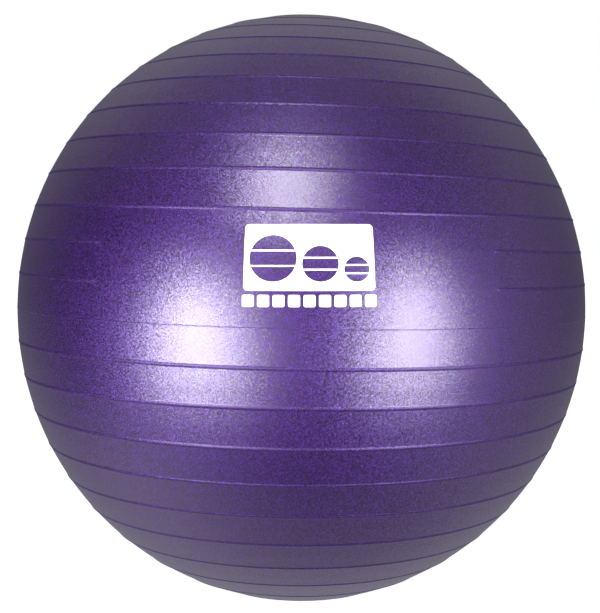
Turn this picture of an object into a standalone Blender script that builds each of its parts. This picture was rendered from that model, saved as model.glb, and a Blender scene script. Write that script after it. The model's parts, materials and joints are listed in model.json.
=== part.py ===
"""Exercise ball: a hollow moulded skin with raised rings, a valve seat and a push-in plug.

Metres, +Z up. The origin is the middle of the flat patch that the ball rests on. One smooth
panel faces -Y and the other faces +Y, where the valve is.
"""

import math

import bmesh
import bpy
from mathutils import Vector

# The ball, standing on its own weight
BALL_WIDTH = 0.650
BALL_HEIGHT = 0.670
SKIN_THICKNESS = 0.00095
REST_PATCH_RADIUS = 0.030
BALL_SIDES = 44

# The raised rings, counted from the girth: up is positive and down is negative.
# They stand further apart towards each pole, by a spread for each ring.
RINGS_ABOVE = 12
RINGS_BELOW = 11
STEP_ABOVE_DEG = 6.35
SPREAD_ABOVE_DEG = 0.022
STEP_BELOW_DEG = 6.15
SPREAD_BELOW_DEG = 0.108
RING_WIDTH = 0.0036
RING_LIFT = 0.00045
BROKEN_RINGS = (1, 2)
PANEL_SIDES = 9
POLAR_CAP_DEG = 85.0

# The parting line is where the two halves of the mould met
PARTING_WIDTH = 0.0012
PARTING_LIFT = 0.0003

# The valve, in the panel at +Y between the broken rings
GAP = 0.0003
VALVE_SIDES = 24
SEAT_RADIUS = 0.0100
SEAT_DEPTH = 0.0160
FLANGE_RADIUS = 0.0150
FLANGE_THICKNESS = 0.0014
SLEEVE_RADIUS = 0.0075
BORE_RADIUS = 0.0046
RECESS_RADIUS = 0.0083
RECESS_DEPTH = 0.0018
PLUG_LENGTH = 0.0210
PLUG_CORE_RADIUS = 0.0036
PLUG_TIP_RADIUS = 0.0026
PLUG_HOLE_RADIUS = 0.0018
PLUG_HOLE_DEPTH = 0.0090
PLUG_BARBS = 4
PLUG_BARB_PITCH = 0.0036
PLUG_BARB_LENGTH = 0.0020
HEAD_EDGE_ROUND = 0.0004

MERGE_DISTANCE = 0.00001

HALF_WIDTH = BALL_WIDTH / 2
HALF_HEIGHT = BALL_HEIGHT / 2
CENTRE_HEIGHT = HALF_HEIGHT * math.sqrt(1 - (REST_PATCH_RADIUS / HALF_WIDTH) ** 2)
SIDE_ANGLE = 2 * math.pi / BALL_SIDES
SIDE_TO_CORNER = 1 / math.cos(SIDE_ANGLE / 2)
FLANK_SIDES = BALL_SIDES // 2 - PANEL_SIDES


def clear_scene():
    """Remove every object, mesh and collection of an earlier run."""
    for obj in list(bpy.data.objects):
        bpy.data.objects.remove(obj, do_unlink=True)
    for mesh in list(bpy.data.meshes):
        bpy.data.meshes.remove(mesh)
    for collection in list(bpy.data.collections):
        bpy.data.collections.remove(collection)


def make_collection(name):
    """Add a collection to the scene."""
    collection = bpy.data.collections.new(name)
    bpy.context.scene.collection.children.link(collection)
    return collection


def make_material(name, colour, roughness, metallic):
    """Make a Principled material."""
    material = bpy.data.materials.new(name)
    material.use_nodes = True
    shader = material.node_tree.nodes["Principled BSDF"]
    shader.inputs["Base Color"].default_value = (*colour, 1.0)
    shader.inputs["Roughness"].default_value = roughness
    shader.inputs["Metallic"].default_value = metallic
    return material


def add_mesh_object(name, mesh, collection, material=None):
    """Put a mesh into the scene as a named object."""
    obj = bpy.data.objects.new(name, mesh)
    collection.objects.link(obj)
    if material:
        mesh.materials.append(material)
    return obj


def outline_mesh(name, outline):
    """Make a mesh of an open outline. Each point is a radius and a height, placed in the XZ plane."""
    mesh = bpy.data.meshes.new(name)
    points = [(radius, 0.0, height) for radius, height in outline]
    edges = [(i, i + 1) for i in range(len(points) - 1)]
    mesh.from_pydata(points, edges, [])
    return mesh


def add_screw(obj, sides):
    """Turn an object's outline round its Z axis."""
    screw = obj.modifiers.new("turn", "SCREW")
    screw.axis = "Z"
    screw.steps = sides
    screw.render_steps = sides
    screw.use_merge_vertices = True
    screw.merge_threshold = MERGE_DISTANCE
    screw.use_smooth_shade = False


def hide_cutter(obj):
    """Mark an object as a shape that only cuts."""
    obj.hide_render = True
    obj.display_type = "WIRE"


def ring_latitude(ring):
    """Latitude of a ring in degrees."""
    count = abs(ring)
    if ring > 0:
        return count * (STEP_ABOVE_DEG + SPREAD_ABOVE_DEG * count)
    return -count * (STEP_BELOW_DEG + SPREAD_BELOW_DEG * count)


def skin_point(latitude, lift=0.0):
    """Radius and height of the skin at a latitude in degrees, lifted along its normal."""
    angle = math.radians(latitude)
    out = Vector((HALF_HEIGHT * math.cos(angle), HALF_WIDTH * math.sin(angle))).normalized()
    radius = HALF_WIDTH * math.cos(angle) + lift * out.x
    height = CENTRE_HEIGHT + HALF_HEIGHT * math.sin(angle) + lift * out.y
    return radius, height


def ridge_points(latitude, width, lift):
    """Section of a ridge round the ball, from its upper foot to its lower foot."""
    half_angle = math.degrees(width / 2 / HALF_WIDTH)
    return [
        skin_point(latitude + half_angle),
        skin_point(latitude, lift),
        skin_point(latitude - half_angle),
    ]


def outer_outline(broken_ring_lift):
    """The skin's outside, from the top pole to the middle of the resting patch."""
    outline = [(0.0, CENTRE_HEIGHT + HALF_HEIGHT), skin_point(POLAR_CAP_DEG)]
    for ring in range(RINGS_ABOVE, -RINGS_BELOW - 1, -1):
        if ring == 0:
            outline += ridge_points(0.0, PARTING_WIDTH, PARTING_LIFT)
        elif ring in BROKEN_RINGS:
            outline += ridge_points(ring_latitude(ring), RING_WIDTH, broken_ring_lift)
        else:
            outline += ridge_points(ring_latitude(ring), RING_WIDTH, RING_LIFT)
    outline += [(REST_PATCH_RADIUS, 0.0), (0.0, 0.0)]
    return outline


def inner_outline():
    """The skin's inside, from the middle of the resting patch to the top pole."""
    outline = [(0.0, SKIN_THICKNESS), (REST_PATCH_RADIUS, SKIN_THICKNESS)]
    for ring in range(-RINGS_BELOW, RINGS_ABOVE + 1):
        outline.append(skin_point(ring_latitude(ring), -SKIN_THICKNESS))
    outline.append(skin_point(POLAR_CAP_DEG, -SKIN_THICKNESS))
    outline.append((0.0, CENTRE_HEIGHT + HALF_HEIGHT - SKIN_THICKNESS))
    return outline


def spin_outline(bm, outline, middle_angle, sides):
    """Turn an outline round the Z axis, over a number of the ball's sides, and give its new faces.

    The outline is that of a flat side's middle, so it is moved out to the corner between two sides.
    """
    old_faces = set(bm.faces)
    start_angle = middle_angle - sides / 2 * SIDE_ANGLE
    direction = Vector((math.cos(start_angle), math.sin(start_angle), 0.0)) * SIDE_TO_CORNER
    corners = [bm.verts.new(direction * radius + Vector((0, 0, height))) for radius, height in outline]
    edges = [bm.edges.new(pair) for pair in zip(corners, corners[1:])]
    bmesh.ops.spin(
        bm,
        geom=corners + edges,
        cent=(0, 0, 0),
        axis=(0, 0, 1),
        angle=sides * SIDE_ANGLE,
        steps=sides,
        use_duplicate=False,
    )
    return [face for face in bm.faces if face not in old_faces]


def close_ring_ends(bm):
    """Weld the flanks to the panels, and close the small end of each broken ring."""
    bmesh.ops.remove_doubles(bm, verts=bm.verts, dist=MERGE_DISTANCE)
    open_edges = [edge for edge in bm.edges if edge.is_boundary]
    bmesh.ops.holes_fill(bm, edges=open_edges, sides=0)
    bmesh.ops.recalc_face_normals(bm, faces=bm.faces)


def make_skin_mesh():
    """The skin's outside and inside. The broken rings are raised on the flanks and flat on the panels."""
    bm = bmesh.new()
    for flank in (0.0, math.pi):
        spin_outline(bm, outer_outline(RING_LIFT), flank, FLANK_SIDES)
    for panel in (-math.pi / 2, math.pi / 2):
        spin_outline(bm, outer_outline(0.0), panel, PANEL_SIDES)
    close_ring_ends(bm)
    inside = spin_outline(bm, inner_outline(), 0.0, BALL_SIDES)
    bmesh.ops.remove_doubles(bm, verts=bm.verts, dist=MERGE_DISTANCE)
    bmesh.ops.recalc_face_normals(bm, faces=inside)
    bmesh.ops.reverse_faces(bm, faces=inside)
    mesh = bpy.data.meshes.new("ball_shell")
    bm.to_mesh(mesh)
    bm.free()
    return mesh


def make_valve_axis(collection):
    """An empty in the middle of the side that holds the valve, with its Z axis pointing out."""
    lower = Vector(skin_point(ring_latitude(BROKEN_RINGS[0])))
    upper = Vector(skin_point(ring_latitude(BROKEN_RINGS[1])))
    middle = (lower + upper) / 2
    run = upper - lower
    tilt = math.atan2(-run.x, run.y)
    empty = bpy.data.objects.new("valve_axis", None)
    empty.location = (0.0, middle.x, middle.y)
    empty.rotation_euler.x = tilt - math.pi / 2
    collection.objects.link(empty)
    return empty


def make_valve_hole(valve_axis, collection):
    """The round hole that the seat fills."""
    bm = bmesh.new()
    bmesh.ops.create_cone(
        bm,
        cap_ends=True,
        segments=VALVE_SIDES,
        radius1=SEAT_RADIUS + GAP,
        radius2=SEAT_RADIUS + GAP,
        depth=SEAT_DEPTH,
    )
    mesh = bpy.data.meshes.new("valve_hole")
    bm.to_mesh(mesh)
    bm.free()
    obj = add_mesh_object("valve_hole", mesh, collection)
    obj.parent = valve_axis
    hide_cutter(obj)
    return obj


def make_ball_shell(collection, valve_hole):
    """The moulded skin, hollow, with its rings, parting line and valve hole."""
    material = make_material("purple_vinyl", (0.105, 0.050, 0.290), 0.32, 0.25)
    shell = add_mesh_object("ball_shell", make_skin_mesh(), collection, material)
    cut = shell.modifiers.new("valve_hole", "BOOLEAN")
    cut.operation = "DIFFERENCE"
    cut.solver = "EXACT"
    cut.object = valve_hole
    return shell


def seat_outline():
    """Section of the seat, down its outside and back up its bore."""
    flange_top = -SKIN_THICKNESS - GAP
    flange_foot = flange_top - FLANGE_THICKNESS
    return [
        (RECESS_RADIUS, 0.0),
        (SEAT_RADIUS, 0.0),
        (SEAT_RADIUS, flange_top),
        (FLANGE_RADIUS, flange_top),
        (FLANGE_RADIUS, flange_foot),
        (SLEEVE_RADIUS, flange_foot - FLANGE_THICKNESS),
        (SLEEVE_RADIUS, -SEAT_DEPTH),
        (BORE_RADIUS, -SEAT_DEPTH),
        (BORE_RADIUS, -RECESS_DEPTH),
        (RECESS_RADIUS, -RECESS_DEPTH),
        (RECESS_RADIUS, 0.0),
    ]


def plug_outline():
    """Section of the plug, from the floor of its grip hole over the head and down the stem."""
    head_radius = RECESS_RADIUS - GAP
    head_foot = -RECESS_DEPTH + GAP
    barb_radius = BORE_RADIUS - GAP
    outline = [
        (0.0, -PLUG_HOLE_DEPTH),
        (PLUG_HOLE_RADIUS, -PLUG_HOLE_DEPTH),
        (PLUG_HOLE_RADIUS, 0.0),
        (head_radius - HEAD_EDGE_ROUND, 0.0),
        (head_radius, -HEAD_EDGE_ROUND),
        (head_radius, head_foot),
        (PLUG_CORE_RADIUS, head_foot),
    ]
    for barb in range(PLUG_BARBS):
        top = head_foot - (barb + 1) * PLUG_BARB_PITCH
        outline.append((PLUG_CORE_RADIUS, top))
        outline.append((barb_radius, top))
        outline.append((PLUG_CORE_RADIUS, top - PLUG_BARB_LENGTH))
    outline.append((PLUG_TIP_RADIUS, -PLUG_LENGTH))
    outline.append((0.0, -PLUG_LENGTH))
    return outline


def make_turned_part(name, outline, valve_axis, collection, material):
    """A turned piece of the valve, standing on the valve's axis."""
    part = add_mesh_object(name, outline_mesh(name, outline), collection, material)
    part.parent = valve_axis
    add_screw(part, VALVE_SIDES)
    return part


def main():
    """Build the ball."""
    clear_scene()
    parts = make_collection("exercise_ball")
    cutters = make_collection("cutters")
    valve_axis = make_valve_axis(parts)
    valve_hole = make_valve_hole(valve_axis, cutters)
    make_ball_shell(parts, valve_hole)
    seat_vinyl = make_material("seat_vinyl", (0.090, 0.045, 0.240), 0.45, 0.0)
    make_turned_part("valve_seat", seat_outline(), valve_axis, parts, seat_vinyl)
    plug_plastic = make_material("plug_plastic", (0.800, 0.800, 0.780), 0.40, 0.0)
    make_turned_part("valve_plug", plug_outline(), valve_axis, parts, plug_plastic)


main()
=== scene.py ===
"""The looks of the exercise ball: its fine skin, print, valve, materials, studio light and camera.

Everything is in metres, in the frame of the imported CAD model. The printed panel faces -Y. Latitudes
and longitudes are in degrees: longitude 0 is at -Y and 90 is at +X.
"""

import json
import math

import bmesh
import bpy
from mathutils import Matrix, Vector, noise


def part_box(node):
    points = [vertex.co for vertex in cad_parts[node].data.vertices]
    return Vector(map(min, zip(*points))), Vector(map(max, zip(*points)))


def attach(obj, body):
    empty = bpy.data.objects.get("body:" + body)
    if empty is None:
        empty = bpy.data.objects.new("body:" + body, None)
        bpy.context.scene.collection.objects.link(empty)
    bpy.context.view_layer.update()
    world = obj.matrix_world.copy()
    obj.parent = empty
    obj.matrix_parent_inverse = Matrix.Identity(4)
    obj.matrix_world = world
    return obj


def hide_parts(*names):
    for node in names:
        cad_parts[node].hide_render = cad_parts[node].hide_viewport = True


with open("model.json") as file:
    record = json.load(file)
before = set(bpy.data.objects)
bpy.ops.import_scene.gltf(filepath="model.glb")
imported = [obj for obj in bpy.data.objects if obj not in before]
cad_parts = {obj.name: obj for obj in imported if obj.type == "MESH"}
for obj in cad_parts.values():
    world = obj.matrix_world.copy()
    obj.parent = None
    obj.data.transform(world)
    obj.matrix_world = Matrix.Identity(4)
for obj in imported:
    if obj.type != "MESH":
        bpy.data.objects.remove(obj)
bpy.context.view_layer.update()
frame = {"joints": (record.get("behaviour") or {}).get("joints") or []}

# The rings, counted from the girth: up is positive and down is negative. Their number, spacing and
# section are those of the CAD model.
RINGS_ABOVE = 12
RINGS_BELOW = 11
STEP_ABOVE_DEG = 6.35
SPREAD_ABOVE_DEG = 0.022
STEP_BELOW_DEG = 6.15
SPREAD_BELOW_DEG = 0.108
RING_WIDTH = 0.0036
RING_LIFT = 0.00045
BROKEN_RINGS = (1, 2)
PANEL_HALF_DEG = 36.8
RING_END_DEG = 0.5

# The parting line at the girth. It is finer than in the CAD model.
PARTING_WIDTH = 0.0009
PARTING_LIFT = 0.00012
PARTING_LIFT_CAD = 0.0003

# What sets a real ball apart from the CAD model: its rings are uneven in height and place, stand
# closer together at +X, and three of them hang down at the front. Its bands are a little flat.
RING_WEAR = 0.12
WEAR_PER_DEGREE = 0.21
WEAR_PER_RING = 3.7
RING_WANDER_DEG = 0.035
WANDER_ROUND = 2.5
WANDER_PER_RING = 5.1
RING_GATHER_DEG = 1.4
RING_SAG_DEG = {3: 0.45, -3: 0.45, -4: 0.40}
POLE_FADE_DEG = 25.0
BAND_FLATNESS = 0.3
BAND_BLEND_DEG = 24.0

# The flat patch that the ball rests on, and the skin
REST_PATCH_RADIUS = 0.030
SKIN_THICKNESS = 0.00095

# How finely the skin is meshed. The columns close to a ring's end are counted to each side of it.
# A ring has the ridges' material, the skin's second, where it has RIDGE_PRESENT of its height.
COLUMNS = 156
COLUMNS_BY_AN_END = 2
ROWS_ON_A_RING = 7
ROWS_IN_A_BAND = (0.02, 0.34, 0.66, 0.98)
CAP_ROWS = 6
RIDGE_PRESENT = 0.3
RIDGE_SLOT = 1

# The skin and the print are sheets: how close their points are merged, and which edges are sharp
MERGE_DISTANCE = 0.00002
SHARP_SHEET_DEG = 50.0

# The valve, in the panel at +Y. Its edges are rounded by EDGE_ROUND or, where a side is short, by a
# share of that side.
GAP = 0.0003
SEAT_RADIUS = 0.0100
SEAT_DEPTH = 0.0160
FLANGE_RADIUS = 0.0150
FLANGE_THICKNESS = 0.0014
SLEEVE_RADIUS = 0.0075
BORE_RADIUS = 0.0046
RECESS_RADIUS = 0.0083
RECESS_DEPTH = 0.0018
PLUG_LENGTH = 0.0210
PLUG_CORE_RADIUS = 0.0036
PLUG_TIP_RADIUS = 0.0026
PLUG_HOLE_RADIUS = 0.0018
PLUG_HOLE_DEPTH = 0.0090
PLUG_BARBS = 4
PLUG_BARB_PITCH = 0.0036
PLUG_BARB_LENGTH = 0.0020
EDGE_ROUND = 0.00035
EDGE_ROUND_SHARE = 0.4
EDGE_STEPS = 3
VALVE_SIDES = 72
AXIS_MERGE_DISTANCE = 0.000001
SHARP_VALVE_DEG = 40.0

# The skin round the valve: the radii of its rings of faces, and how far the plain grid is cleared
PATCH_RADII = (0.0103, 0.0110, 0.0125, 0.0150, 0.0190, 0.0240)
PATCH_CLEAR_RADIUS = 0.0330

# The print, a film of ink on the front panel. STRIPE_PLACE is a share of a disc's radius.
PRINT_LATITUDE_DEG = 11.2
PRINT_LONGITUDE_DEG = 2.65
PRINT_TILT_DEG = 1.1
PLATE_WIDTH = 0.1190
PLATE_HEIGHT = 0.0615
PLATE_CORNER = 0.0040
DISC_RADII = (0.0215, 0.0165, 0.0115)
DISC_GAP = 0.0050
DISC_BASE = -0.0225
STRIPE_WIDTH = 0.0016
STRIPE_PLACE = 0.33
BLOCK_COUNT = 9
BLOCK_GAP = 0.0030
BLOCK_ROW_WIDTH = 0.1210
BLOCK_HEIGHT = 0.0110
BLOCK_TOP_GAP = 0.0036
BLOCK_CORNER = 0.0018
INK_LIFT = 0.00010
INK_THICKNESS = 0.00006
INK_CELL = 0.0030
CORNER_STEPS = 6
ARC_STEPS = 16
SAME_POINT = 0.000001

# Colours. Each pair is the two ends between which a noise or a flake picks.
BLACK = (0.0, 0.0, 0.0, 1.0)
WHITE = (1.0, 1.0, 1.0, 1.0)
CAMERA_SIDE_GREY = (0.78, 0.78, 0.78, 1.0)
FLAKE_COLOURS = ((0.008, 0.002, 0.024, 1.0), (0.136, 0.026, 0.400, 1.0))
SEAT_COLOURS = ((0.075, 0.036, 0.200, 1.0), (0.105, 0.052, 0.270, 1.0))
PLUG_COLOURS = ((0.74, 0.74, 0.72, 1.0), (0.84, 0.84, 0.82, 1.0))
INK_COLOURS = ((0.90, 0.89, 0.91, 1.0), (0.97, 0.97, 0.97, 1.0))
FLOOR_COLOURS = ((0.86, 0.86, 0.86, 1.0), (0.90, 0.90, 0.90, 1.0))

# The skin's material: metal-like flakes under a clear coat. The higher FLAKE_RARITY is, the fewer
# flakes are bright. A finish is its roughness, the weight of its coat and the coat's roughness.
FLAKES_PER_METRE = 1600.0
FLAKE_RARITY = 2.0
FLAKE_METALLIC = 0.9
FLAKE_LEAN = 0.18
ROUGHNESS_SPREAD = 0.05
COAT_IOR = 1.8
SMOOTH_FINISH = (0.55, 1.0, 0.32)
RIDGE_FINISH = (0.58, 0.50, 0.45)

# The other materials. A cloud or a grain is noise, with its scale and detail. Roughness runs
# between two values, and a bump has a strength.
SEAT_CLOUD = (160.0, 3.0)
SEAT_GRAIN = (1500.0, 2.0)
SEAT_ROUGHNESS = (0.38, 0.52)
SEAT_BUMP = 0.3
PLUG_CLOUD = (260.0, 4.0)
PLUG_GRAIN = (2200.0, 2.0)
PLUG_ROUGHNESS = (0.32, 0.48)
PLUG_BUMP = 0.25
INK_CLOUD = (700.0, 3.0)
INK_ROUGHNESS = (0.40, 0.52)
INK_BUMP = 0.2
FLOOR_CLOUD = (2.0, 2.0)
FLOOR_ROUGHNESS = 0.9
GRAIN_HEIGHT = 0.0001

# The floor glows more with its distance from the ball. The floor and the backdrop are white, and
# light grey on the camera's side. The floor changes over between two depths, and the backdrop
# between two directions, where -1 is towards -Y and 1 is towards +Y.
FLOOR_HALF_SIDE = 40.0
FLOOR_GLOW = 0.86
FLOOR_GLOW_REACH = (0.5, 2.5)
FLOOR_GREY_REACH = (-1.6, -0.9)
BACKDROP_GREY_REACH = (-0.15, 0.05)

# Softboxes: name, azimuth, elevation, width, height and radiance
SOFTBOX_DISTANCE = 1.5
SOFTBOXES = (
    ("left_softbox", -33.4, -12.4, 0.80, 0.54, 14.0),
    ("left_top_softbox", -33.4, 2.8, 0.42, 0.30, 20.0),
    ("right_softbox", 37.5, -9.9, 0.70, 0.60, 11.8),
    ("right_top_softbox", 37.5, 7.1, 0.40, 0.32, 15.0),
    ("high_softbox", -6.5, 41.3, 0.55, 0.50, 12.8),
)

# The room's own light: levels at heights from straight down, -1, to straight up, 1. It is black on
# the camera's side, and these levels come in to the left and right of the ball and behind it. They
# change over between the two directions of each of the last three pairs.
ROOM_LEFT = ((-1.0, 0.40), (-0.85, 0.70), (-0.65, 0.73), (-0.35, 0.05), (0.35, 0.0), (0.70, 0.20))
ROOM_RIGHT = ((-1.0, 0.30), (-0.85, 0.30), (-0.65, 0.42), (-0.35, 0.28), (0.35, 0.36), (0.65, 0.22))
ROOM_BEHIND = ((-1.0, 0.60), (-0.35, 0.31), (0.0, 0.11), (0.35, 0.21), (0.65, 0.44), (0.90, 0.57))
LEFT_TO_RIGHT = (-0.3, 0.3)
FRONT_TO_BESIDE = (-0.55, -0.15)
BESIDE_TO_BEHIND = (0.15, 0.55)

# The camera
CAMERA_DISTANCE = 1.390
CAMERA_AZIMUTH_DEG = 1.5
CAMERA_ELEVATION_DEG = 3.41
CAMERA_ROLL_DEG = 1.1
CAMERA_LENS_MM = 69.4
SENSOR_MM = 36.0
AIM_LEFT = 0.0016
AIM_UP = 0.0016

# The ball's size, from the frame
_low, _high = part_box("ball_shell")
HALF_WIDTH = (_high.x - _low.x) / 2 - PARTING_LIFT_CAD
HALF_HEIGHT = _high.z / (1 + math.sqrt(1 - (REST_PATCH_RADIUS / HALF_WIDTH) ** 2))
CENTRE_HEIGHT = _high.z - HALF_HEIGHT
CENTRE = Vector((0.0, 0.0, CENTRE_HEIGHT))


# --- Helpers -----------------------------------------------------------------------------------


def add_object(name, mesh):
    """Put a mesh or curve into the scene."""
    obj = bpy.data.objects.new(name, mesh)
    bpy.context.scene.collection.objects.link(obj)
    return obj


def bake_modifiers(obj):
    """Replace an object's mesh with what its modifiers make of it."""
    bpy.context.view_layer.update()
    evaluated = obj.evaluated_get(bpy.context.evaluated_depsgraph_get())
    mesh = bpy.data.meshes.new_from_object(evaluated)
    obj.modifiers.clear()
    obj.data = mesh


def shade_smoothly(obj, sharp_degrees):
    """Shade an object smooth, apart from its sharp edges."""
    obj.data.shade_smooth()
    obj.data.set_sharp_from_angle(angle=math.radians(sharp_degrees))


def thick_sheet(name, mesh, thickness):
    """Give a sheet a thickness, on its inside."""
    sheet = add_object(name, mesh)
    solidify = sheet.modifiers.new("thickness", "SOLIDIFY")
    solidify.thickness = thickness
    solidify.offset = -1
    bake_modifiers(sheet)
    shade_smoothly(sheet, SHARP_SHEET_DEG)
    return sheet


# --- Shape of the skin -------------------------------------------------------------------------


def ring_latitude(ring):
    """Latitude of a ring. The rings lie further apart towards the poles."""
    count = abs(ring)
    if ring > 0:
        return count * (STEP_ABOVE_DEG + SPREAD_ABOVE_DEG * count)
    return -count * (STEP_BELOW_DEG + SPREAD_BELOW_DEG * count)


def smooth_step(value):
    """Ease from 0 to 1."""
    value = min(max(value, 0.0), 1.0)
    return value * value * (3 - 2 * value)


def plain_point(latitude, longitude, lift=0.0):
    """A point on the smooth ball, or over it by a lift."""
    up = math.radians(latitude)
    round_angle = math.radians(longitude)
    out = Vector((HALF_HEIGHT * math.cos(up), HALF_WIDTH * math.sin(up))).normalized()
    radius = HALF_WIDTH * math.cos(up) + lift * out.x
    height = CENTRE_HEIGHT + HALF_HEIGHT * math.sin(up) + lift * out.y
    return Vector((radius * math.sin(round_angle), -radius * math.cos(round_angle), height))


def flank_share(longitude, blend):
    """1 on the flanks of the ball, where the broken rings run, and 0 on the smooth panels."""
    from_panel = min(abs((longitude + 180) % 360 - 180), abs(longitude % 360 - 180))
    return smooth_step((from_panel - PANEL_HALF_DEG) / blend + 0.5)


def ring_strength(ring, longitude):
    """How much of its full height a ring has at a longitude."""
    place = Vector((longitude * WEAR_PER_DEGREE, ring * WEAR_PER_RING, 0.0))
    strength = 1 + RING_WEAR * noise.noise(place)
    if ring in BROKEN_RINGS:
        strength *= flank_share(longitude, RING_END_DEG)
    return strength


def ring_wander(ring, longitude):
    """How far a ring strays from its latitude, because a mould is cut by hand."""
    angle = math.radians(longitude)
    across = math.cos(angle) * WANDER_ROUND
    along = math.sin(angle) * WANDER_ROUND
    return RING_WANDER_DEG * noise.noise(Vector((across, along, ring * WANDER_PER_RING)))


def gathered(latitude, longitude):
    """Latitude on the real ball, whose rings stand a little closer together at +X than at -X."""
    share = math.sin(math.radians(latitude)) * math.sin(math.radians(longitude))
    fade = smooth_step((90 - abs(latitude)) / POLE_FADE_DEG)
    return latitude - RING_GATHER_DEG * share * fade


def front_sag(latitude, longitude):
    """How far the skin hangs down, in degrees, with some of its rings in the middle of the front."""
    front = max(0.0, math.cos(math.radians(longitude))) ** 2
    sag = 0.0
    for ring, most in RING_SAG_DEG.items():
        pitch = (ring_latitude(ring + 1) - ring_latitude(ring - 1)) / 2
        sag += most * max(0.0, 1 - abs(latitude - ring_latitude(ring)) / pitch)
    return sag * front


def ridge_lift(ring, longitude):
    """How far a ridge's crest stands out at a longitude. Ring 0 is the parting line."""
    return PARTING_LIFT if ring == 0 else RING_LIFT * ring_strength(ring, longitude)


def ridge_half_degrees(ring):
    """Half the width of a ridge, in degrees of latitude."""
    width = PARTING_WIDTH if ring == 0 else RING_WIDTH
    return math.degrees(width / 2 / HALF_WIDTH)


def ridge_section(offset, half_width):
    """Section of a ridge, an arc: 1 at its crest and 0 at its feet."""
    return max(0.0, 1 - (offset / half_width) ** 2)


def band_sag(latitude, lower, upper, share):
    """Lift of a band between two rings. It is below 0, because the rings hold the band taut."""
    half_band = math.radians(upper - lower) / 2
    place = (latitude - (upper + lower) / 2) / ((upper - lower) / 2)
    full = HALF_WIDTH * (1 - math.cos(half_band))
    return -BAND_FLATNESS * share * full * (1 - place * place)


class Row:
    """One line of latitude of the skin's mesh."""

    def __init__(self, latitude, ring=None, band=None):
        self.latitude = latitude
        self.ring = ring
        self.band = band

    def point(self, longitude):
        """Where this row crosses a longitude."""
        latitude = self.latitude
        lift = 0.0
        if self.ring is not None:
            offset = latitude - ring_latitude(self.ring)
            section = ridge_section(offset, ridge_half_degrees(self.ring))
            lift = ridge_lift(self.ring, longitude) * section
            latitude += ring_wander(self.ring, longitude)
        elif self.band is not None:
            lower, upper = self.band
            share = 1.0
            if set(self.band) & set(BROKEN_RINGS):  # the smooth panels are round, not flat
                share = flank_share(longitude, BAND_BLEND_DEG)
            lift = band_sag(latitude, ring_latitude(lower), ring_latitude(upper), share)
        real_latitude = gathered(latitude, longitude) - front_sag(latitude, longitude)
        place = plain_point(real_latitude, longitude, lift)
        place.z = max(place.z, 0.0)
        return place


def ring_rows(ring):
    """The rows over one ridge, from its upper foot to its lower foot."""
    half_width = ridge_half_degrees(ring)
    rows = []
    for step in range(ROWS_ON_A_RING):
        across = 1 - 2 * step / (ROWS_ON_A_RING - 1)
        rows.append(Row(ring_latitude(ring) + across * half_width, ring=ring))
    return rows


def band_rows(lower_ring, upper_ring):
    """The rows between two ridges, from the upper one down."""
    upper = ring_latitude(upper_ring) - ridge_half_degrees(upper_ring)
    lower = ring_latitude(lower_ring) + ridge_half_degrees(lower_ring)
    band = (lower_ring, upper_ring)
    return [Row(upper + (lower - upper) * place, band=band) for place in ROWS_IN_A_BAND]


def skin_rows():
    """All rows of the skin, from the top down."""
    rows = []
    top_edge = ring_latitude(RINGS_ABOVE) + ridge_half_degrees(RINGS_ABOVE)
    for step in range(1, CAP_ROWS):
        rows.append(Row(90 + (top_edge - 90) * step / CAP_ROWS))
    for ring in range(RINGS_ABOVE, -RINGS_BELOW - 1, -1):
        rows += ring_rows(ring)
        if ring > -RINGS_BELOW:
            rows += band_rows(ring - 1, ring)
    patch_edge = -math.degrees(math.acos(REST_PATCH_RADIUS / HALF_WIDTH))
    rows.append(Row(patch_edge))
    for step in range(1, CAP_ROWS):
        rows.append(Row(patch_edge + (-90 - patch_edge) * step / CAP_ROWS))
    return rows


def skin_columns():
    """Longitudes of the skin's mesh, with more of them where the broken rings end."""
    columns = {360 * step / COLUMNS for step in range(COLUMNS)}
    for middle in (0.0, 180.0):
        for side in (-1, 1):
            end = middle + side * PANEL_HALF_DEG
            for step in range(-COLUMNS_BY_AN_END, COLUMNS_BY_AN_END + 1):
                columns.add((end + RING_END_DEG * step / (2 * COLUMNS_BY_AN_END)) % 360)
    return sorted(columns)


def valve_frame():
    """Where the valve meets the skin, as a matrix whose Z axis points out along the plug's joint."""
    latitude = (ring_latitude(BROKEN_RINGS[0]) + ring_latitude(BROKEN_RINGS[1])) / 2
    axis = Vector(frame["joints"][0]["axis"]).normalized()
    turn = axis.to_track_quat("Z", "Y").to_matrix().to_4x4()
    return Matrix.Translation(plain_point(latitude, 180.0)) @ turn


def over_valve(matrix, radius, angle):
    """A point on the skin at a radius and angle round the valve."""
    flat = matrix @ Vector((radius * math.cos(angle), radius * math.sin(angle), 0.0))
    ray = flat - CENTRE
    scale = math.sqrt((ray.x**2 + ray.y**2) / HALF_WIDTH**2 + ray.z**2 / HALF_HEIGHT**2)
    return CENTRE + ray / scale


def cut_valve_hole(bm):
    """Replace the skin round the valve with rings of faces that run up to a round hole."""
    matrix = valve_frame()
    middle = matrix.translation
    gone = [f for f in bm.faces if (f.calc_center_median() - middle).length < PATCH_CLEAR_RADIUS]
    bmesh.ops.delete(bm, geom=gone, context="FACES")
    border = [e for e in bm.edges if e.is_boundary]
    angles = [2 * math.pi * step / VALVE_SIDES for step in range(VALVE_SIDES)]
    loops = []
    for radius in PATCH_RADII:
        loops.append([bm.verts.new(over_valve(matrix, radius, angle)) for angle in angles])
    for inner, outer in zip(loops, loops[1:]):
        for step in range(VALVE_SIDES):
            after = (step + 1) % VALVE_SIDES
            bm.faces.new((inner[step], outer[step], outer[after], inner[after]))
    rim = [bm.edges.get((loops[-1][i], loops[-1][i - 1])) for i in range(VALVE_SIDES)]
    bmesh.ops.bridge_loops(bm, edges=border + rim)


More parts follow.
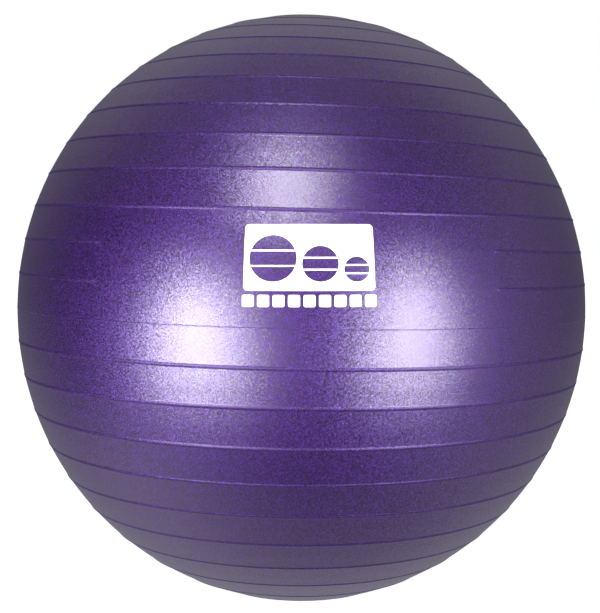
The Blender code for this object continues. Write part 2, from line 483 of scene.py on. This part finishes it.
def skin_grid(bm):
    """The closed skin as a grid of faces between its top and bottom points."""
    rows = skin_rows()
    columns = skin_columns()
    grid = [[bm.verts.new(row.point(longitude)) for longitude in columns] for row in rows]
    top = bm.verts.new((0.0, 0.0, CENTRE_HEIGHT + HALF_HEIGHT))
    bottom = bm.verts.new((0.0, 0.0, 0.0))
    for column in range(len(columns)):
        after = (column + 1) % len(columns)
        bm.faces.new((top, grid[0][column], grid[0][after]))
        bm.faces.new((bottom, grid[-1][after], grid[-1][column]))
        for row, (upper, lower) in enumerate(zip(grid, grid[1:])):
            face = bm.faces.new((upper[column], lower[column], lower[after], upper[after]))
            ring = rows[row].ring
            on_ridge = ring not in (None, 0) and ring == rows[row + 1].ring
            if on_ridge and ring_strength(ring, columns[column]) > RIDGE_PRESENT:
                face.material_index = RIDGE_SLOT


def build_skin():
    """The ball's skin, with every ring, the parting line and the valve's hole."""
    bm = bmesh.new()
    skin_grid(bm)
    cut_valve_hole(bm)
    bmesh.ops.dissolve_degenerate(bm, edges=bm.edges, dist=MERGE_DISTANCE)
    bmesh.ops.recalc_face_normals(bm, faces=bm.faces)
    mesh = bpy.data.meshes.new("skin")
    bm.to_mesh(mesh)
    bm.free()
    return thick_sheet("skin", mesh, SKIN_THICKNESS)


# --- Print -------------------------------------------------------------------------------------


def rounded_box(centre_x, centre_y, width, height, corner):
    """Outline of a box with round corners."""
    points = []
    for turn, (side_x, side_y) in enumerate(((1, 1), (-1, 1), (-1, -1), (1, -1))):
        for step in range(CORNER_STEPS + 1):
            angle = math.pi / 2 * (turn + step / CORNER_STEPS)
            x = centre_x + side_x * (width / 2 - corner) + corner * math.cos(angle)
            y = centre_y + side_y * (height / 2 - corner) + corner * math.sin(angle)
            points.append((x, y))
    return points


def disc_slice(centre_x, centre_y, radius, low, high):
    """Outline of the part of a disc between two heights."""
    first = math.asin(max(-1.0, (low - centre_y) / radius))
    last = math.asin(min(1.0, (high - centre_y) / radius))
    angles = [first + (last - first) * step / ARC_STEPS for step in range(ARC_STEPS + 1)]
    right = [(centre_x + radius * math.cos(a), centre_y + radius * math.sin(a)) for a in angles]
    left = [(2 * centre_x - x, y) for x, y in reversed(right)]
    points = right + left
    pairs = zip(points, points[-1:] + points[:-1])
    return [point for point, before in pairs if math.dist(point, before) > SAME_POINT]


def disc_outlines():
    """Three striped discs of falling size on one base line, cut out of the plate."""
    outlines = []
    span = 2 * sum(DISC_RADII) + DISC_GAP * (len(DISC_RADII) - 1)
    x = -span / 2
    for radius in DISC_RADII:
        middle = DISC_BASE + radius
        cuts = [middle - radius * STRIPE_PLACE, middle + radius * STRIPE_PLACE]
        edges = [middle - radius]
        for cut in cuts:
            edges += [cut - STRIPE_WIDTH / 2, cut + STRIPE_WIDTH / 2]
        edges.append(middle + radius)
        for low, high in zip(edges[::2], edges[1::2]):
            outlines.append(disc_slice(x + radius, middle, radius, low, high))
        x += 2 * radius + DISC_GAP
    return outlines


def block_outlines():
    """The row of plain blocks under the plate."""
    width = (BLOCK_ROW_WIDTH - BLOCK_GAP * (BLOCK_COUNT - 1)) / BLOCK_COUNT
    y = -PLATE_HEIGHT / 2 - BLOCK_TOP_GAP - BLOCK_HEIGHT / 2
    outlines = []
    for block in range(BLOCK_COUNT):
        x = -BLOCK_ROW_WIDTH / 2 + width / 2 + block * (width + BLOCK_GAP)
        outlines.append(rounded_box(x, y, width, BLOCK_HEIGHT, BLOCK_CORNER))
    return outlines


def flat_print():
    """The print as a flat mesh: filled outlines, with the discs left open in the plate."""
    curve = bpy.data.curves.new("print_outline", "CURVE")
    curve.dimensions = "2D"
    curve.fill_mode = "FRONT"
    plate = rounded_box(0.0, 0.0, PLATE_WIDTH, PLATE_HEIGHT, PLATE_CORNER)
    for outline in [plate] + disc_outlines() + block_outlines():
        spline = curve.splines.new("POLY")
        spline.points.add(len(outline) - 1)
        for point, (x, y) in zip(spline.points, outline):
            point.co = (x, y, 0.0, 1.0)
        spline.use_cyclic_u = True
    flat = add_object("print_outline", curve)
    bpy.context.view_layer.update()
    evaluated = flat.evaluated_get(bpy.context.evaluated_depsgraph_get())
    mesh = bpy.data.meshes.new_from_object(evaluated)
    bpy.data.objects.remove(flat)
    return mesh


def cut_into_cells(bm):
    """Cut the flat print along a grid, so that it can bend."""
    reach = BLOCK_ROW_WIDTH
    for normal in (Vector((1, 0, 0)), Vector((0, 1, 0))):
        for step in range(round(2 * reach / INK_CELL)):
            geometry = bm.verts[:] + bm.edges[:] + bm.faces[:]
            place = normal * (step * INK_CELL - reach)
            bmesh.ops.bisect_plane(bm, geom=geometry, plane_co=place, plane_no=normal)
    bmesh.ops.dissolve_degenerate(bm, edges=bm.edges, dist=MERGE_DISTANCE)


def wrap_on_skin(bm):
    """Bend the flat print on to the front panel, tilted a little."""
    tilt = math.radians(PRINT_TILT_DEG)
    up_scale = math.degrees(1 / HALF_HEIGHT)
    across_scale = math.degrees(1 / (HALF_WIDTH * math.cos(math.radians(PRINT_LATITUDE_DEG))))
    for vert in bm.verts:
        x = vert.co.x * math.cos(tilt) - vert.co.y * math.sin(tilt)
        y = vert.co.x * math.sin(tilt) + vert.co.y * math.cos(tilt)
        latitude = PRINT_LATITUDE_DEG + y * up_scale
        longitude = PRINT_LONGITUDE_DEG + x * across_scale
        vert.co = plain_point(latitude, longitude, INK_LIFT)
    bm.normal_update()
    if sum(face.normal.y for face in bm.faces) > 0:
        bmesh.ops.reverse_faces(bm, faces=bm.faces)


def build_print():
    """The print, wrapped on to the skin as a thin film."""
    mesh = flat_print()
    bm = bmesh.new()
    bm.from_mesh(mesh)
    cut_into_cells(bm)
    wrap_on_skin(bm)
    bm.to_mesh(mesh)
    bm.free()
    return thick_sheet("print_film", mesh, INK_THICKNESS)


# --- Valve -------------------------------------------------------------------------------------


def round_corner(before, corner, after, radius):
    """Points that take a corner off an outline as a short arc."""
    to_before = (Vector(before) - Vector(corner)).normalized()
    to_after = (Vector(after) - Vector(corner)).normalized()
    start = Vector(corner) + to_before * radius
    end = Vector(corner) + to_after * radius
    points = []
    for step in range(EDGE_STEPS + 1):
        share = step / EDGE_STEPS
        through = start.lerp(Vector(corner), share).lerp(Vector(corner).lerp(end, share), share)
        points.append(tuple(through))
    return points


def soften(outline, closed):
    """Round every corner of an outline a little."""
    count = len(outline)
    points = []
    for i, corner in enumerate(outline):
        if not closed and i in (0, count - 1):
            points.append(corner)
            continue
        before, after = outline[i - 1], outline[(i + 1) % count]
        room = min(math.dist(before, corner), math.dist(after, corner)) * EDGE_ROUND_SHARE
        points += round_corner(before, corner, after, min(EDGE_ROUND, room))
    if closed:
        points.append(points[0])
    return points


def seat_outline():
    """Section of the seat, down its outside and back up its bore."""
    flange_top = -SKIN_THICKNESS - GAP
    flange_foot = flange_top - FLANGE_THICKNESS
    return [
        (RECESS_RADIUS, 0.0),
        (SEAT_RADIUS, 0.0),
        (SEAT_RADIUS, flange_top),
        (FLANGE_RADIUS, flange_top),
        (FLANGE_RADIUS, flange_foot),
        (SLEEVE_RADIUS, flange_foot - FLANGE_THICKNESS),
        (SLEEVE_RADIUS, -SEAT_DEPTH),
        (BORE_RADIUS, -SEAT_DEPTH),
        (BORE_RADIUS, -RECESS_DEPTH),
        (RECESS_RADIUS, -RECESS_DEPTH),
    ]


def plug_outline():
    """Section of the plug, from the floor of its grip hole over the head and down the stem."""
    head_radius = RECESS_RADIUS - GAP
    head_foot = -RECESS_DEPTH + GAP
    barb_radius = BORE_RADIUS - GAP
    outline = [
        (0.0, -PLUG_HOLE_DEPTH),
        (PLUG_HOLE_RADIUS, -PLUG_HOLE_DEPTH),
        (PLUG_HOLE_RADIUS, 0.0),
        (head_radius, 0.0),
        (head_radius, head_foot),
        (PLUG_CORE_RADIUS, head_foot),
    ]
    for barb in range(PLUG_BARBS):
        top = head_foot - (barb + 1) * PLUG_BARB_PITCH
        outline.append((PLUG_CORE_RADIUS, top))
        outline.append((barb_radius, top))
        outline.append((PLUG_CORE_RADIUS, top - PLUG_BARB_LENGTH))
    outline.append((PLUG_TIP_RADIUS, -PLUG_LENGTH))
    outline.append((0.0, -PLUG_LENGTH))
    return outline


def turned_piece(name, outline):
    """Turn a section round the valve's axis."""
    mesh = bpy.data.meshes.new(name)
    points = [(radius, 0.0, height) for radius, height in outline]
    mesh.from_pydata(points, [(i, i + 1) for i in range(len(points) - 1)], [])
    piece = add_object(name, mesh)
    screw = piece.modifiers.new("turn", "SCREW")
    screw.axis = "Z"
    screw.steps = VALVE_SIDES
    screw.render_steps = VALVE_SIDES
    screw.use_merge_vertices = True
    screw.merge_threshold = AXIS_MERGE_DISTANCE
    bake_modifiers(piece)
    piece.data.transform(valve_frame())
    shade_smoothly(piece, SHARP_VALVE_DEG)
    return piece


# --- Materials ---------------------------------------------------------------------------------


class Nodes:
    """A new material, and a short way to write its node tree."""

    def __init__(self, name):
        self.material = bpy.data.materials.new(name)
        self.material.use_nodes = True
        self.tree = self.material.node_tree
        self.shader = self.tree.nodes["Principled BSDF"]
        place = self.tree.nodes.new("ShaderNodeTexCoord")
        self.place = place.outputs["Object"]

    def add(self, kind, **inputs):
        """Add a node; an input is a value, or an output socket to link."""
        node = self.tree.nodes.new(kind)
        for name, value in inputs.items():
            self.put(node.inputs[name.replace("_", " ")], value)
        return node

    def put(self, socket, value):
        """Set a socket or link to it."""
        if isinstance(value, bpy.types.NodeSocket):
            self.tree.links.new(value, socket)
        else:
            socket.default_value = value

    def noise(self, scale, detail):
        """Noise over the surface, from 0 to 1."""
        node = self.add("ShaderNodeTexNoise", Vector=self.place, Scale=scale, Detail=detail)
        return node.outputs["Fac"]

    def spread(self, value, low, high, from_low=0.0, from_high=1.0):
        """Map a value to another range."""
        node = self.add("ShaderNodeMapRange", Value=value, From_Min=from_low, From_Max=from_high)
        node.inputs["To Min"].default_value = low
        node.inputs["To Max"].default_value = high
        return node.outputs["Result"]

    def mix(self, share, first, second):
        """Mix two colours."""
        node = self.tree.nodes.new("ShaderNodeMix")
        node.data_type = "RGBA"
        colour_inputs = [socket for socket in node.inputs if socket.type == "RGBA"]
        self.put(node.inputs["Factor"], share)
        self.put(colour_inputs[0], first)
        self.put(colour_inputs[1], second)
        return next(socket for socket in node.outputs if socket.type == "RGBA")

    def cloud(self, value, colours, roughness):
        """Let the colour and the roughness vary with a value, each between its own two ends."""
        self.put(self.shader.inputs["Base Color"], self.mix(value, *colours))
        self.put(self.shader.inputs["Roughness"], self.spread(value, *roughness))

    def bump(self, height, strength):
        """Let the surface rise and fall a very little with a height."""
        node = self.add("ShaderNodeBump", Height=height, Distance=GRAIN_HEIGHT, Strength=strength)
        self.put(self.shader.inputs["Normal"], node.outputs["Normal"])

    def power(self, value, exponent):
        """Raise a value to a power."""
        node = self.tree.nodes.new("ShaderNodeMath")
        node.operation = "POWER"
        self.put(node.inputs[0], value)
        self.put(node.inputs[1], exponent)
        return node.outputs["Value"]

    def vector_math(self, operation, first, second=None):
        """Work on one or two vectors."""
        node = self.tree.nodes.new("ShaderNodeVectorMath")
        node.operation = operation
        self.put(node.inputs[0], first)
        if second is not None:
            self.put(node.inputs[1], second)
        return node.outputs["Vector"]

    def tilt(self, colour, amount):
        """The surface's normal, leaning at random as far as a random colour is from grey."""
        middle_grey = (0.5, 0.5, 0.5)
        lean = self.vector_math("SUBTRACT", colour, middle_grey)
        lean = self.vector_math("MULTIPLY", lean, (amount, amount, amount))
        normal = self.tree.nodes.new("ShaderNodeNewGeometry").outputs["Normal"]
        return self.vector_math("NORMALIZE", self.vector_math("ADD", normal, lean))


def skin_material(name, roughness, coat, coat_roughness):
    """Deep purple vinyl: dark pearl flakes under a satin clear surface."""
    nodes = Nodes(name)
    flakes = nodes.add("ShaderNodeTexVoronoi", Vector=nodes.place, Scale=FLAKES_PER_METRE)
    flake = flakes.outputs["Color"]
    shade = nodes.add("ShaderNodeSeparateColor", Color=flake).outputs["Red"]
    sparkle = nodes.power(shade, FLAKE_RARITY)
    nodes.put(nodes.shader.inputs["Base Color"], nodes.mix(sparkle, *FLAKE_COLOURS))
    rough = nodes.spread(shade, roughness - ROUGHNESS_SPREAD, roughness + ROUGHNESS_SPREAD)
    nodes.put(nodes.shader.inputs["Roughness"], rough)
    nodes.shader.inputs["Metallic"].default_value = FLAKE_METALLIC
    nodes.shader.inputs["Coat Weight"].default_value = coat
    nodes.shader.inputs["Coat Roughness"].default_value = coat_roughness
    nodes.shader.inputs["Coat IOR"].default_value = COAT_IOR
    grain = nodes.tilt(flake, FLAKE_LEAN)
    nodes.put(nodes.shader.inputs["Normal"], grain)
    nodes.put(nodes.shader.inputs["Coat Normal"], grain)
    return nodes.material


def seat_material():
    """Plain purple vinyl, satin, with a faint moulding grain."""
    nodes = Nodes("seat_vinyl")
    nodes.cloud(nodes.noise(*SEAT_CLOUD), SEAT_COLOURS, SEAT_ROUGHNESS)
    nodes.bump(nodes.noise(*SEAT_GRAIN), SEAT_BUMP)
    return nodes.material


def plug_material():
    """White moulded plastic, slightly worn and dusty."""
    nodes = Nodes("plug_plastic")
    nodes.cloud(nodes.noise(*PLUG_CLOUD), PLUG_COLOURS, PLUG_ROUGHNESS)
    nodes.bump(nodes.noise(*PLUG_GRAIN), PLUG_BUMP)
    return nodes.material


def ink_material():
    """White ink, satin and a little uneven."""
    nodes = Nodes("white_ink")
    cloud = nodes.noise(*INK_CLOUD)
    nodes.cloud(cloud, INK_COLOURS, INK_ROUGHNESS)
    nodes.bump(cloud, INK_BUMP)
    return nodes.material


def floor_material():
    """A pale floor that glows a little, and on the camera's side a grey one that only glows."""
    nodes = Nodes("pale_floor")
    pale = nodes.mix(nodes.noise(*FLOOR_CLOUD), *FLOOR_COLOURS)
    depth = nodes.add("ShaderNodeSeparateXYZ", Vector=nodes.place).outputs["Y"]
    away = nodes.spread(depth, 0.0, 1.0, *FLOOR_GREY_REACH)
    nodes.put(nodes.shader.inputs["Base Color"], nodes.mix(away, BLACK, pale))
    nodes.put(nodes.shader.inputs["Emission Color"], nodes.mix(away, CAMERA_SIDE_GREY, WHITE))
    nodes.shader.inputs["Roughness"].default_value = FLOOR_ROUGHNESS
    nodes.shader.inputs["Specular IOR Level"].default_value = 0.0
    distance = nodes.add("ShaderNodeVectorMath", Vector=nodes.place)
    distance.operation = "LENGTH"
    glow = nodes.spread(distance.outputs["Value"], FLOOR_GLOW, 1.0, *FLOOR_GLOW_REACH)
    nodes.put(nodes.shader.inputs["Emission Strength"], glow)
    return nodes.material


# --- Studio ------------------------------------------------------------------------------------


def build_floor():
    """A wide floor. It glows, so that only the ball's soft shadow shows on it."""
    bm = bmesh.new()
    bmesh.ops.create_grid(bm, x_segments=1, y_segments=1, size=FLOOR_HALF_SIDE)
    mesh = bpy.data.meshes.new("floor")
    bm.to_mesh(mesh)
    bm.free()
    floor = add_object("floor", mesh)
    floor.data.materials.append(floor_material())
    floor.visible_diffuse = False
    floor.visible_glossy = False
    floor.visible_shadow = False


def directions(azimuth, elevation):
    """Directions to the right, out and up for something round the ball that faces its middle."""
    a = math.radians(azimuth)
    e = math.radians(elevation)
    right = Vector((math.cos(a), math.sin(a), 0.0))
    out = Vector((math.sin(a) * math.cos(e), -math.cos(a) * math.cos(e), math.sin(e)))
    return right, out, out.cross(right)


def add_softbox(name, azimuth, elevation, width, height, radiance):
    """A soft rectangular light that faces the middle of the ball, as bright as its radiance says."""
    light = bpy.data.lights.new(name, "AREA")
    light.shape = "RECTANGLE"
    light.size = width
    light.size_y = height
    light.energy = radiance * math.pi * width * height
    obj = bpy.data.objects.new(name, light)
    right, out, up = directions(azimuth, elevation)
    turn = Matrix((right, up, out)).transposed().to_4x4()
    obj.matrix_world = Matrix.Translation(CENTRE + out * SOFTBOX_DISTANCE) @ turn
    obj.visible_camera = False
    bpy.context.scene.collection.objects.link(obj)


class WorldNodes:
    """The world's node tree, which works with the direction that a ray leaves in."""

    def __init__(self, world):
        world.use_nodes = True
        self.tree = world.node_tree
        direction = self.tree.nodes.new("ShaderNodeTexCoord").outputs["Generated"]
        split = self.tree.nodes.new("ShaderNodeSeparateXYZ")
        self.tree.links.new(direction, split.inputs["Vector"])
        self.side = split.outputs["X"]
        self.depth = split.outputs["Y"]
        self.height = self.share(split.outputs["Z"], -1.0, 1.0)

    def share(self, value, low, high):
        """Map a range on to 0 to 1."""
        node = self.tree.nodes.new("ShaderNodeMapRange")
        self.tree.links.new(value, node.inputs["Value"])
        node.inputs["From Min"].default_value = low
        node.inputs["From Max"].default_value = high
        return node.outputs["Result"]

    def levels(self, stops):
        """Grey levels by height."""
        ramp = self.tree.nodes.new("ShaderNodeValToRGB")
        self.tree.links.new(self.height, ramp.inputs["Fac"])
        elements = ramp.color_ramp.elements
        while len(elements) < len(stops):
            elements.new(0.5)  # its place and level are set below
        for element, (place, level) in zip(elements, stops):
            element.position = (place + 1) / 2
            element.color = (level, level, level, 1.0)
        return ramp.outputs["Color"]

    def background(self, colour):
        """Light of a colour, which is given or an output socket to link."""
        node = self.tree.nodes.new("ShaderNodeBackground")
        if isinstance(colour, bpy.types.NodeSocket):
            self.tree.links.new(colour, node.inputs["Color"])
        else:
            node.inputs["Color"].default_value = colour
        return node.outputs["Background"]

    def mix(self, share, first, second):
        """Mix two lights."""
        node = self.tree.nodes.new("ShaderNodeMixShader")
        self.tree.links.new(share, node.inputs["Fac"])
        self.tree.links.new(first, node.inputs[1])
        self.tree.links.new(second, node.inputs[2])
        return node.outputs["Shader"]


def build_world():
    """The backdrop that the camera sees, and a dim room that the ball mirrors and is lit by."""
    world = bpy.data.worlds.new("studio")
    bpy.context.scene.world = world
    nodes = WorldNodes(world)
    left = nodes.background(nodes.levels(ROOM_LEFT))
    right = nodes.background(nodes.levels(ROOM_RIGHT))
    behind = nodes.background(nodes.levels(ROOM_BEHIND))
    beside = nodes.mix(nodes.share(nodes.side, *LEFT_TO_RIGHT), left, right)
    room = nodes.mix(nodes.share(nodes.depth, *FRONT_TO_BESIDE), nodes.background(BLACK), beside)
    room = nodes.mix(nodes.share(nodes.depth, *BESIDE_TO_BEHIND), room, behind)
    grey = nodes.background(CAMERA_SIDE_GREY)
    white = nodes.background(WHITE)
    backdrop = nodes.mix(nodes.share(nodes.depth, *BACKDROP_GREY_REACH), grey, white)
    seen = nodes.tree.nodes.new("ShaderNodeLightPath").outputs["Is Camera Ray"]
    light = nodes.mix(seen, room, backdrop)
    nodes.tree.links.new(light, nodes.tree.nodes["World Output"].inputs["Surface"])


def build_lights():
    """Soft lights: one low on each side, with a smaller one above it, and one high up in front."""
    for softbox in SOFTBOXES:
        add_softbox(*softbox)


def build_camera():
    """The camera, a little above the ball's girth."""
    data = bpy.data.cameras.new("camera")
    data.lens = CAMERA_LENS_MM
    data.sensor_width = SENSOR_MM
    camera = bpy.data.objects.new("camera", data)
    bpy.context.scene.collection.objects.link(camera)
    right, out, up = directions(CAMERA_AZIMUTH_DEG, CAMERA_ELEVATION_DEG)
    aim = CENTRE - right * AIM_LEFT + up * AIM_UP
    camera.location = CENTRE + out * CAMERA_DISTANCE
    look = (aim - camera.location).to_track_quat("-Z", "Y").to_matrix().to_4x4()
    roll = Matrix.Rotation(math.radians(CAMERA_ROLL_DEG), 4, "Z")
    camera.matrix_world = Matrix.Translation(camera.location) @ look @ roll
    bpy.context.scene.camera = camera


# --- The scene ---------------------------------------------------------------------------------


def place_piece(piece, materials, body, replaced=None):
    """Give a piece its materials and its body, and hide the node it stands for."""
    for material in materials:
        piece.data.materials.append(material)
    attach(piece, body)
    if replaced:
        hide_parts(replaced)


build_camera()
smooth_skin = skin_material("pearl_vinyl", *SMOOTH_FINISH)
ridge_skin = skin_material("pearl_vinyl_rib", *RIDGE_FINISH)
place_piece(build_skin(), (smooth_skin, ridge_skin), "ball", "ball_shell")
place_piece(build_print(), (ink_material(),), "ball")
seat = turned_piece("valve_seat_fine", soften(seat_outline(), closed=True))
place_piece(seat, (seat_material(),), "ball", "valve_seat")
plug = turned_piece("valve_plug_fine", soften(plug_outline(), closed=False))
place_piece(plug, (plug_material(),), "plug", "valve_plug")
build_floor()
build_world()
build_lights()
bpy.context.scene.view_settings.view_transform = "Standard"
